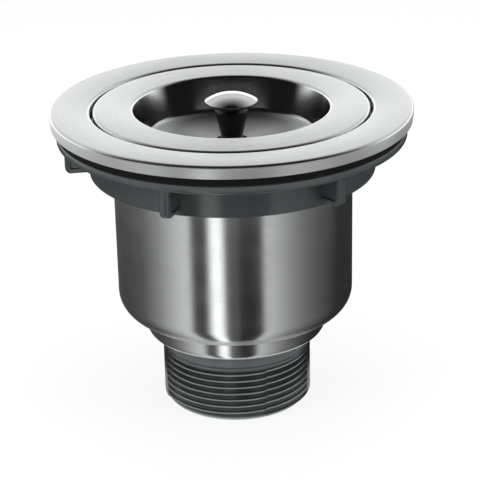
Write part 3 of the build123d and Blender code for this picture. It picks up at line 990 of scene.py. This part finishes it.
class WASTE_OT_lid(Operator):
    """Build the dished lid."""

    bl_idname = "waste.lid"
    bl_label = "Lid"

    def execute(self, context):
        sizes = context.scene.waste_lid
        section = sheet_section(
            [
                (sizes.radius, sizes.foot_height),
                (sizes.radius, sizes.top_height, sizes.edge_bend),
                (sizes.dish_radius, sizes.top_height, sizes.dish_edge_bend),
                (sizes.dish_floor_radius, dish_level, sizes.dish_corner),
                (sizes.knob_hole, dish_level),
            ],
            sizes.sheet,
        )
        wear(turned("lid_pressed", section), "strainer", "lid_steel", lid_steel(), "lid")
        return {"FINISHED"}


def knob_stem_section(sizes):
    """Section of the knob's stem: foot, waist, flare, brim and the bore for the spigot."""
    flare_steps = 18
    foot_top = dish_level + sizes.foot_height
    neck = dish_level + sizes.neck_height
    brim_level = knob_top_level - sizes.brim_edge
    spigot_end = knob_top_level - sizes.spigot_length
    spigot_wall = sizes.spigot_radius + sizes.spigot_play
    outline = bent_line(
        [
            (sizes.foot_radius, dish_level),
            (sizes.foot_radius, foot_top, sizes.edge),
            (sizes.waist_radius, foot_top + sizes.foot_rise, sizes.waist_bend),
            (sizes.waist_radius, dish_level + sizes.waist_height),
            (sizes.neck_radius, neck),
        ]
    )
    for step in range(1, flare_steps + 1):
        rise = (step / flare_steps) ** sizes.flare_rise
        spread = (step / flare_steps) ** sizes.flare_spread
        radius = sizes.neck_radius + (knob_brim_radius - sizes.neck_radius) * spread
        outline.append(Vector((radius, neck + (brim_level - neck) * rise)))
    return outline + bent_line(
        [
            (knob_brim_radius, brim_level + sizes.brim_start),
            (knob_brim_radius, knob_top_level, sizes.edge),
            (spigot_wall, knob_top_level),
            (spigot_wall, spigot_end),
            (sizes.stem_bore, spigot_end),
            (sizes.stem_bore, dish_level),
        ]
    )


def knob_cap_section(sizes):
    """Section of the knob's cap: flat dome, edge, spigot and the hole for the screw."""
    dome_steps = 24
    radius = knob_brim_radius - sizes.cap_inset
    rim = knob_top_level + sizes.cap_edge
    spigot_end = knob_top_level - sizes.spigot_length
    screw_end = spigot_end + sizes.screw_depth
    dome = []
    for step in range(dome_steps + 1):
        across = sin(pi / 2 * step / dome_steps)
        rise = 1 - across**sizes.cap_curve
        dome.append(Vector((radius * across, rim + sizes.cap_dome * rise)))
    return dome + bent_line(
        [
            (radius, knob_top_level),
            (sizes.spigot_radius, knob_top_level),
            (sizes.spigot_radius, spigot_end),
            (sizes.screw_radius, spigot_end),
            (sizes.screw_radius, screw_end),
            (0.0, screw_end),
        ]
    )


class WASTE_OT_knob(Operator):
    """Build the knob: its black stem and its polished cap."""

    bl_idname = "waste.knob"
    bl_label = "Knob"

    def execute(self, context):
        sizes = context.scene.waste_knob
        looks = context.scene.waste_finishes
        black = moulded_plastic(
            "knob_plastic",
            looks.knob_black,
            looks.knob_roughness,
            depth=0.001 * MM,
            Coat_Weight=looks.knob_coat,
            Coat_Roughness=0.06,
        )
        stem = turned("knob_stem_moulded", knob_stem_section(sizes))
        wear(stem, "strainer", "knob_plastic", black, "knob_stem")
        polished = plain_metal("cap_steel", looks.cap_steel, looks.cap_roughness, lines=900.0)
        cap = turned("knob_cap_polished", knob_cap_section(sizes), closed=False)
        wear(cap, "strainer", "cap_steel", polished, "knob_cap")
        return {"FINISHED"}


def lug_pattern(sizes):
    """One lug as a fin along +X, with a sunk panel in each side."""
    bevel_steps = 4
    least_facing = 0.99
    root = (sizes.wall_radius + sizes.bore_radius) / 2
    top = nut_top_level - sizes.flange_thickness / 2
    foot = nut_top_level - sizes.flange_thickness - sizes.lug_height
    outline = bent_line(
        [
            (root, top),
            (sizes.lug_tip_radius, top),
            (sizes.lug_tip_radius, foot, sizes.lug_corner),
            (root, foot),
        ]
    )
    half = sizes.lug_thickness / 2
    work = bmesh.new()
    sides = []
    for offset in (-half, half):
        sides.append([work.verts.new((point.x, offset, point.y)) for point in outline])
    join_sides(work, *sides)
    bmesh.ops.recalc_face_normals(work, faces=work.faces)
    long_edges = []
    for side in sides:
        for first, second in zip(side[1:], side[2:]):
            long_edges.append(work.edges.get((first, second)))
    bmesh.ops.bevel(
        work,
        geom=long_edges,
        offset=sizes.lug_edge,
        segments=bevel_steps,
        profile=0.5,
        affect="EDGES",
    )
    border = sizes.lug_border - sizes.lug_edge
    slope, sink = sizes.lug_panel_slope, -sizes.lug_panel_depth
    work.faces.ensure_lookup_table()
    for facing in (-1, 1):
        flat_faces = [face for face in work.faces if face.normal.y * facing > least_facing]
        panel = max(flat_faces, key=lambda face: face.calc_area())
        bmesh.ops.inset_region(work, faces=[panel], thickness=border)
        bmesh.ops.inset_region(work, faces=[panel], thickness=slope, depth=sink)
    return finished_object("lug_pattern", work)


class WASTE_OT_lock_nut(Operator):
    """Build the lock nut with its lugs."""

    bl_idname = "waste.lock_nut"
    bl_label = "Lock Nut"

    def execute(self, context):
        sizes = context.scene.waste_nut
        looks = context.scene.waste_finishes
        longest_run = 3.0 * MM
        flange_foot = nut_top_level - sizes.flange_thickness
        section = bent_line(
            [
                (sizes.bore_radius, nut_top_level),
                (sizes.flange_radius, nut_top_level, sizes.top_edge),
                (sizes.flange_radius, flange_foot, sizes.flange_edge),
                (sizes.wall_radius, flange_foot, sizes.wall_root),
                (sizes.wall_radius, nut_foot_level, sizes.bottom_edge),
                (sizes.bore_radius, nut_foot_level, sizes.bottom_edge),
                (sizes.bore_radius, nut_top_level - SECTION_GAP),
            ]
        )
        grey = moulded_plastic(
            "nut_plastic", looks.nut_grey, looks.nut_roughness, depth=0.0008 * MM
        )
        nut = turned("lock_nut_moulded", divided(section, longest_run))
        lug = lug_pattern(sizes)
        grow(
            nut,
            lug_group(),
            Lug=lug,
            Count=sizes.lug_count,
            First_Angle=sizes.lug_first_angle,
            Material=grey,
        )
        bpy.data.objects.remove(lug)
        wear(nut, "lock_nut", "nut_plastic", grey, "lock_nut")
        return {"FINISHED"}


def build_pipe(sizes, top, grey):
    """The outlet's collar, outer thread, chamfered end and stepped bore."""
    longest_run = 0.16 * MM
    inner_margin = 1.4 * MM
    outer_margin = 0.1 * MM
    collar_foot = top - sizes.collar_height
    slope_top = collar_foot - sizes.relief_height
    bore_top = outlet_end_level + sizes.bore_length
    relief_radius = sizes.thread_radius - sizes.relief_depth
    section = bent_line(
        [
            (sizes.throat_radius, top),
            (collar_radius, top, sizes.collar_edge),
            (collar_radius, collar_foot, sizes.collar_foot_edge),
            (relief_radius, collar_foot),
            (relief_radius, slope_top),
            (sizes.thread_radius, slope_top - sizes.relief_slope, sizes.relief_edge),
            (sizes.thread_radius, outlet_end_level + sizes.chamfer, sizes.chamfer_edge),
            (sizes.thread_radius - sizes.chamfer, outlet_end_level, sizes.end_edge),
            (sizes.bore_radius, outlet_end_level, sizes.mouth_edge),
            (sizes.bore_radius, bore_top),
            (sizes.throat_radius, bore_top),
            (sizes.throat_radius, top - SECTION_GAP),
        ]
    )
    pipe = turned("outlet_pipe_threaded", divided(section, longest_run))
    grow(
        pipe,
        thread_group(),
        Pitch=sizes.thread_pitch,
        Depth=sizes.thread_depth,
        Crest_Share=sizes.crest_share,
        Flank_Share=sizes.flank_share,
        Lowest=outlet_end_level + sizes.thread_start,
        Highest=collar_foot - sizes.thread_end,
        Run_in=sizes.run_in,
        Run_out=sizes.run_out,
        Parting_Angle=sizes.parting_angle,
        Parting_Step=sizes.parting_step,
        Flat_Share=sizes.flat_share,
        Flat_Fade=sizes.flat_fade,
        Inner_Radius=sizes.thread_radius - inner_margin,
        Outer_Radius=sizes.thread_radius + outer_margin,
        Material=grey,
    )
    return pipe


def build_spider(sizes, top):
    """The boss for the insert and the four arms that hold it in the outlet."""
    arm_count = 4
    boss_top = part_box("thread_insert")[1].z
    boss_foot = boss_top - sizes.boss_height
    seat = boss_top - sizes.insert_length
    boss = bent_line(
        [
            (sizes.insert_radius, boss_top),
            (sizes.boss_radius, boss_top, sizes.boss_top_edge),
            (sizes.boss_radius, boss_foot, sizes.boss_foot_edge),
            (sizes.screw_hole, boss_foot, sizes.screw_hole_edge),
            (sizes.screw_hole, seat),
            (sizes.insert_radius, seat),
            (sizes.insert_radius, boss_top - SECTION_GAP),
        ]
    )
    work = bmesh.new()
    add_turned(work, boss)
    half = sizes.arm_thickness / 2
    start = sizes.boss_radius - sizes.arm_root
    end = sizes.throat_radius + sizes.arm_tip
    arm = bent_line(
        [
            (-half, 0.0),
            (-half, -sizes.arm_height, sizes.arm_edge),
            (half, -sizes.arm_height, sizes.arm_edge),
            (half, 0.0),
        ]
    )
    for place in range(arm_count):
        facing = Matrix.Rotation(2 * pi * place / arm_count, 3, "Z")
        ends = []
        for reach in (start, end):
            ends.append([work.verts.new(facing @ Vector((reach, p.x, top + p.y))) for p in arm])
        join_sides(work, *ends)
    return finished_object("outlet_spider", work)


class WASTE_OT_outlet(Operator):
    """Build the threaded outlet with its spider and boss."""

    bl_idname = "waste.outlet"
    bl_label = "Outlet"

    def execute(self, context):
        sizes = context.scene.waste_outlet
        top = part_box("outlet_seal")[0].z
        grey = outlet_plastic()
        pipe = build_pipe(sizes, top, grey)
        wear(pipe, "strainer", "outlet_plastic", grey, "outlet_pipe")
        wear(build_spider(sizes, top), "strainer", "outlet_plastic", grey, "outlet_pipe")
        return {"FINISHED"}


def paint_nodes(material, *nodes):
    """Give CAD pieces that keep their own shape a material."""
    for node in nodes:
        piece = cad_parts[node]
        piece.data.materials.clear()
        piece.data.materials.append(material)


class WASTE_OT_small_pieces(Operator):
    """Finish the pieces that keep the frame's own shapes."""

    bl_idname = "waste.small_pieces"
    bl_label = "Seals, Basket and Screws"

    def execute(self, context):
        looks = context.scene.waste_finishes
        rubber = moulded_plastic(
            "black_rubber",
            looks.rubber_black,
            looks.rubber_roughness,
            depth=0.01 * MM,
            Specular_IOR_Level=looks.rubber_shine,
        )
        paint_nodes(rubber, "lid_seal", "flange_seal", "sink_gasket", "outlet_seal")
        fibre = moulded_plastic(
            "slip_fibre", looks.washer_grey, looks.washer_roughness, depth=0.01 * MM
        )
        paint_nodes(fibre, "friction_washer")
        steel = plain_metal("basket_steel", looks.basket_steel, looks.basket_roughness)
        paint_nodes(steel, "basket", "basket_ears", "basket_bail", "bottom_grate")
        plain = plain_metal("screw_steel", looks.screw_steel, looks.screw_roughness)
        paint_nodes(plain, "knob_screw", "knob_washer", "centre_screw", "screw_washer")
        brass = plain_metal("insert_brass", looks.insert_brass, looks.brass_roughness)
        paint_nodes(brass, "thread_insert")
        return {"FINISHED"}


def place_camera(settings, aim):
    """A camera whose aim point stands at its place in the picture."""
    picture_size = 480
    aim_pixel = (231.3, 104.8)
    sensor = 36 * MM
    focal_pixels = settings.focal_length / sensor * picture_size
    elevation = settings.camera_elevation
    ahead = Vector((0.0, cos(elevation), -sin(elevation)))
    right = Vector((1.0, 0.0, 0.0))
    up = Vector((0.0, sin(elevation), cos(elevation)))
    place = aim - ahead * settings.camera_distance
    roll = settings.camera_roll
    right, up = right * cos(roll) - up * sin(roll), right * sin(roll) + up * cos(roll)
    pan = atan2(aim_pixel[0] - picture_size / 2, focal_pixels)
    right, ahead = right * cos(pan) + ahead * sin(pan), ahead * cos(pan) - right * sin(pan)
    tilt = atan2(aim_pixel[1] - picture_size / 2, focal_pixels)
    up, ahead = up * cos(tilt) - ahead * sin(tilt), ahead * cos(tilt) + up * sin(tilt)
    lens = bpy.data.cameras.new("photograph_view")
    lens.lens = settings.focal_length / MM
    lens.sensor_width = sensor / MM
    lens.clip_start = 0.01
    lens.clip_end = 50.0
    camera = bpy.data.objects.new("photograph_view", lens)
    bpy.context.scene.collection.objects.link(camera)
    turn_matrix = Matrix((right, up, -ahead)).transposed()
    camera.matrix_world = Matrix.Translation(place) @ turn_matrix.to_4x4()
    bpy.context.scene.camera = camera


def empty_tree(owner):
    """The cleared node tree of a material or a world."""
    owner.use_nodes = True
    owner.node_tree.nodes.clear()
    return owner.node_tree


def brightness_ramp(tree, value, stops):
    """Light along a value as a share of the brightest light of its stops, and that light."""
    brightest = max(light for _, light in stops)
    ramp = add_node(tree, "ShaderNodeValToRGB", {"Fac": value})
    points = ramp.color_ramp.elements
    points[0].position, points[1].position = stops[0][0], stops[-1][0]
    for place, _ in stops[1:-1]:
        points.new(place)
    for point, (_, light) in zip(points, stops):
        point.color = (*[light / brightest] * 3, 1.0)
    return ramp.outputs[0], brightest


def floor_material():
    """Pale floor that shows white to the camera and keeps the object's shadow."""
    glow_share = 0.86
    material = bpy.data.materials.new("pale_floor")
    tree = empty_tree(material)
    paint = add_node(tree, "ShaderNodeBsdfDiffuse", {"Color": (0.85, 0.85, 0.85, 1.0)})
    glow = add_node(tree, "ShaderNodeEmission", {"Color": (1.0, 1.0, 1.0, 1.0), "Strength": 1.0})
    paths = add_node(tree, "ShaderNodeLightPath").outputs
    seen = reckon(tree, "MAXIMUM", paths["Is Camera Ray"], paths["Is Glossy Ray"])
    seen = reckon(tree, "MAXIMUM", seen, paths["Is Transmission Ray"])
    amount = multiply(tree, seen, glow_share)
    mixed = add_node(
        tree, "ShaderNodeMixShader", {0: amount, 1: paint.outputs[0], 2: glow.outputs[0]}
    )
    add_node(tree, "ShaderNodeOutputMaterial", {"Surface": mixed.outputs[0]})
    return material


def ring_card_material(settings):
    """Light and dark cards round the object, as brightness over the cup's own normal."""
    # Degrees of the cup's normal from the front to the right, and the light there
    lights = [
        (-90, 0.08),
        (-64, 0.06),
        (-49, 0.10),
        (-38, 0.30),
        (-27, 0.68),
        (-21.6, 0.80),
        (-19.7, 0.03),
        (-13.0, 0.03),
        (-10.3, 1.6),
        (-6.6, 1.6),
        (-4.1, 0.09),
        (1.4, 0.09),
        (2.4, 0.02),
        (12, 0.02),
        (14.2, 0.68),
        (18, 0.60),
        (25, 0.37),
        (32, 0.22),
        (42, 0.11),
        (57, 0.025),
        (90, 0.025),
    ]
    material = bpy.data.materials.new("reflection_cards")
    tree = empty_tree(material)
    axes = object_axes(tree)
    angle = reckon(tree, "ARCTAN2", axes[0], multiply(tree, axes[1], -1.0))
    inverse = reckon(tree, "DIVIDE", -settings.mirror_radius, radius_here(tree, axes))
    spread = reckon(tree, "ADD", inverse, settings.mirror_spread)
    normal_angle = reckon(tree, "DIVIDE", angle, spread)
    turned_share = ramp_between(tree, normal_angle, -pi / 2, pi / 2)
    stops = [(degrees / 180 + 0.5, light) for degrees, light in lights]
    light, brightest = brightness_ramp(tree, turned_share, stops)
    glow = add_node(tree, "ShaderNodeEmission", {"Color": light, "Strength": brightest})
    add_node(tree, "ShaderNodeOutputMaterial", {"Surface": glow.outputs[0]})
    return material


def even_card_material(name, light):
    """Even light of one of the cards above the ring of cards."""
    material = bpy.data.materials.new(name)
    tree = empty_tree(material)
    glow = add_node(tree, "ShaderNodeEmission", {"Strength": light})
    add_node(tree, "ShaderNodeOutputMaterial", {"Surface": glow.outputs[0]})
    return material


def light_world():
    """Light round the object: even for matt faces, by place for reflections, white when seen."""
    front_edge, back_edge = -0.15, 0.35
    level_share = 0.83
    least_level = 0.005
    matt_level = 0.55
    # Height of a reflected ray, and the light that comes from there
    lights = [
        (0.0, 1.9),
        (0.12, 1.9),
        (0.20, 1.8),
        (0.283, 1.5),
        (0.311, 1.2),
        (0.345, 0.88),
        (0.42, 0.86),
        (0.55, 0.95),
        (0.70, 0.7),
        (0.97, 0.0),
    ]
    world = bpy.data.worlds.new("studio")
    bpy.context.scene.world = world
    tree = empty_tree(world)
    axes = separated(tree, add_node(tree, "ShaderNodeTexCoord").outputs["Generated"])
    behind = ramp_between(tree, axes[1], front_edge, back_edge, smooth=True)
    light, brightest = brightness_ramp(tree, axes[2], lights)
    lit = multiply(tree, behind, light)
    level = reckon(tree, "MULTIPLY_ADD", lit, level_share * brightest, least_level)
    paths = add_node(tree, "ShaderNodeLightPath").outputs
    on_object = mix_values(tree, paths["Is Glossy Ray"], matt_level, level)
    shown = mix_values(tree, paths["Is Camera Ray"], on_object, 1.0)
    background = add_node(tree, "ShaderNodeBackground", {"Color": shown, "Strength": 1.0})
    add_node(tree, "ShaderNodeOutputWorld", {"Surface": background.outputs[0]})


def put_on_stage(name, work, material):
    """Make a mesh in work a scene object with its material, for the stage."""
    piece = new_object(name, work)
    piece.data.materials.append(material)
    return piece


def put_in_reflections(name, work, material):
    """Make a mesh in work a scene object for the stage that only reflections show."""
    piece = put_on_stage(name, work, material)
    piece.visible_camera = False
    piece.visible_diffuse = False
    piece.visible_shadow = False
    piece.visible_transmission = False


def lay_floor(settings):
    """Lay the floor under the outlet's end."""
    work = bmesh.new()
    bmesh.ops.create_grid(work, x_segments=1, y_segments=1, size=settings.floor_half)
    bmesh.ops.translate(work, verts=work.verts, vec=(0.0, 0.0, outlet_end_level))
    put_on_stage("pale_floor", work, floor_material())


def set_up_cards(settings):
    """Set up the ring of cards that the cup reflects and the even cards above it."""
    work = bmesh.new()
    card_foot = outlet_end_level + settings.card_lift
    card_top = outlet_end_level + settings.card_top
    ring = (
        Vector((settings.card_foot_radius, card_foot)),
        Vector((settings.card_radius, card_foot)),
        Vector((settings.card_radius, card_top)),
    )
    add_turned(work, ring, closed=False)
    put_in_reflections("reflection_cards", work, ring_card_material(settings))

    # Name, first and last degree from the front to the right, top and light
    step = 5
    upper_cards = (
        ("rim_card", -90, 50, settings.rim_card_top, 1.08),
        ("right_card", 50, 90, settings.rim_card_top, 0.6),
        ("dark_card", 90, 170, settings.dark_card_top, 0.3),
    )
    for name, first, last, top, light in upper_cards:
        work = bmesh.new()
        upright = []
        for degrees in range(first, last + 1, step):
            across = settings.card_radius * sin(radians(degrees))
            ahead = -settings.card_radius * cos(radians(degrees))
            levels = (card_top, outlet_end_level + top)
            upright.append([work.verts.new((across, ahead, level)) for level in levels])
        for one, other in zip(upright, upright[1:]):
            work.faces.new((one[0], other[0], other[1], one[1]))
        put_in_reflections(name, work, even_card_material(name, light))


def add_lamp(name, size, place, aim, watts):
    """A softbox that points at the object."""
    data = bpy.data.lights.new(name, "AREA")
    data.shape = "RECTANGLE"
    data.size, data.size_y = size
    data.energy = watts
    lamp = bpy.data.objects.new(name, data)
    bpy.context.scene.collection.objects.link(lamp)
    lamp.location = place
    lamp.rotation_euler = (Vector(aim) - Vector(place)).to_track_quat("-Z", "Y").to_euler()
    lamp.visible_glossy = False


class WASTE_OT_stage(Operator):
    """Set up the floor, reflection cards, lamps, world light and camera."""

    bl_idname = "waste.stage"
    bl_label = "Stage"

    def execute(self, context):
        settings = context.scene.waste_stage
        lamp_aim = (0.0, 0.0, -0.03)
        context.scene.view_settings.view_transform = "Standard"
        lay_floor(settings)
        set_up_cards(settings)
        add_lamp("top_softbox", (0.6, 0.6), (0.0, 0.05, 0.75), lamp_aim, 5.0)
        add_lamp("left_softbox", (0.35, 0.5), (-0.6, -0.35, 0.3), lamp_aim, 3.0)
        add_lamp("right_softbox", (0.35, 0.5), (0.6, -0.25, 0.3), lamp_aim, 2.5)
        light_world()
        place_camera(settings, Vector((0.0, 0.0, context.scene.waste_body.lip_height)))
        return {"FINISHED"}


class WASTE_PT_panel(Panel):
    """Buttons for the pieces and their sizes, in the sidebar."""

    bl_idname = "WASTE_PT_panel"
    bl_label = "Strainer Waste"
    bl_space_type = "VIEW_3D"
    bl_region_type = "UI"
    bl_category = "Strainer Waste"

    def draw(self, context):
        for group, operator in PIECES.items():
            box = self.layout.box()
            box.operator(operator.bl_idname)
            settings = getattr(context.scene, group)
            for name in settings.bl_rna.properties.keys():
                if name not in {"rna_type", "name"}:
                    box.prop(settings, name)


GROUPS = {
    "waste_body": StrainerBodySizes,
    "waste_lid": LidSizes,
    "waste_knob": KnobSizes,
    "waste_nut": LockNutSizes,
    "waste_outlet": OutletSizes,
    "waste_finishes": Finishes,
    "waste_stage": StageSizes,
}
PIECES = {
    "waste_body": WASTE_OT_strainer_body,
    "waste_lid": WASTE_OT_lid,
    "waste_knob": WASTE_OT_knob,
    "waste_nut": WASTE_OT_lock_nut,
    "waste_outlet": WASTE_OT_outlet,
    "waste_finishes": WASTE_OT_small_pieces,
    "waste_stage": WASTE_OT_stage,
}


def register():
    """Register the classes and hang the settings on the scene."""
    for kind in (*GROUPS.values(), *PIECES.values(), WASTE_PT_panel):
        bpy.utils.register_class(kind)
    for name, group in GROUPS.items():
        setattr(bpy.types.Scene, name, PointerProperty(type=group))


def unregister():
    """Take the settings off the scene and unregister the classes."""
    for name in GROUPS:
        delattr(bpy.types.Scene, name)
    for kind in (WASTE_PT_panel, *PIECES.values(), *GROUPS.values()):
        bpy.utils.unregister_class(kind)


def corners(box):
    """A box as plain lists of numbers."""
    return [list(corner) for corner in box]


def main():
    """Build every piece and the stage."""
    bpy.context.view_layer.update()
    register()
    for operator in PIECES.values():
        area, name = operator.bl_idname.split(".")
        getattr(getattr(bpy.ops, area), name)()


if __name__ == "__main__":
    main()
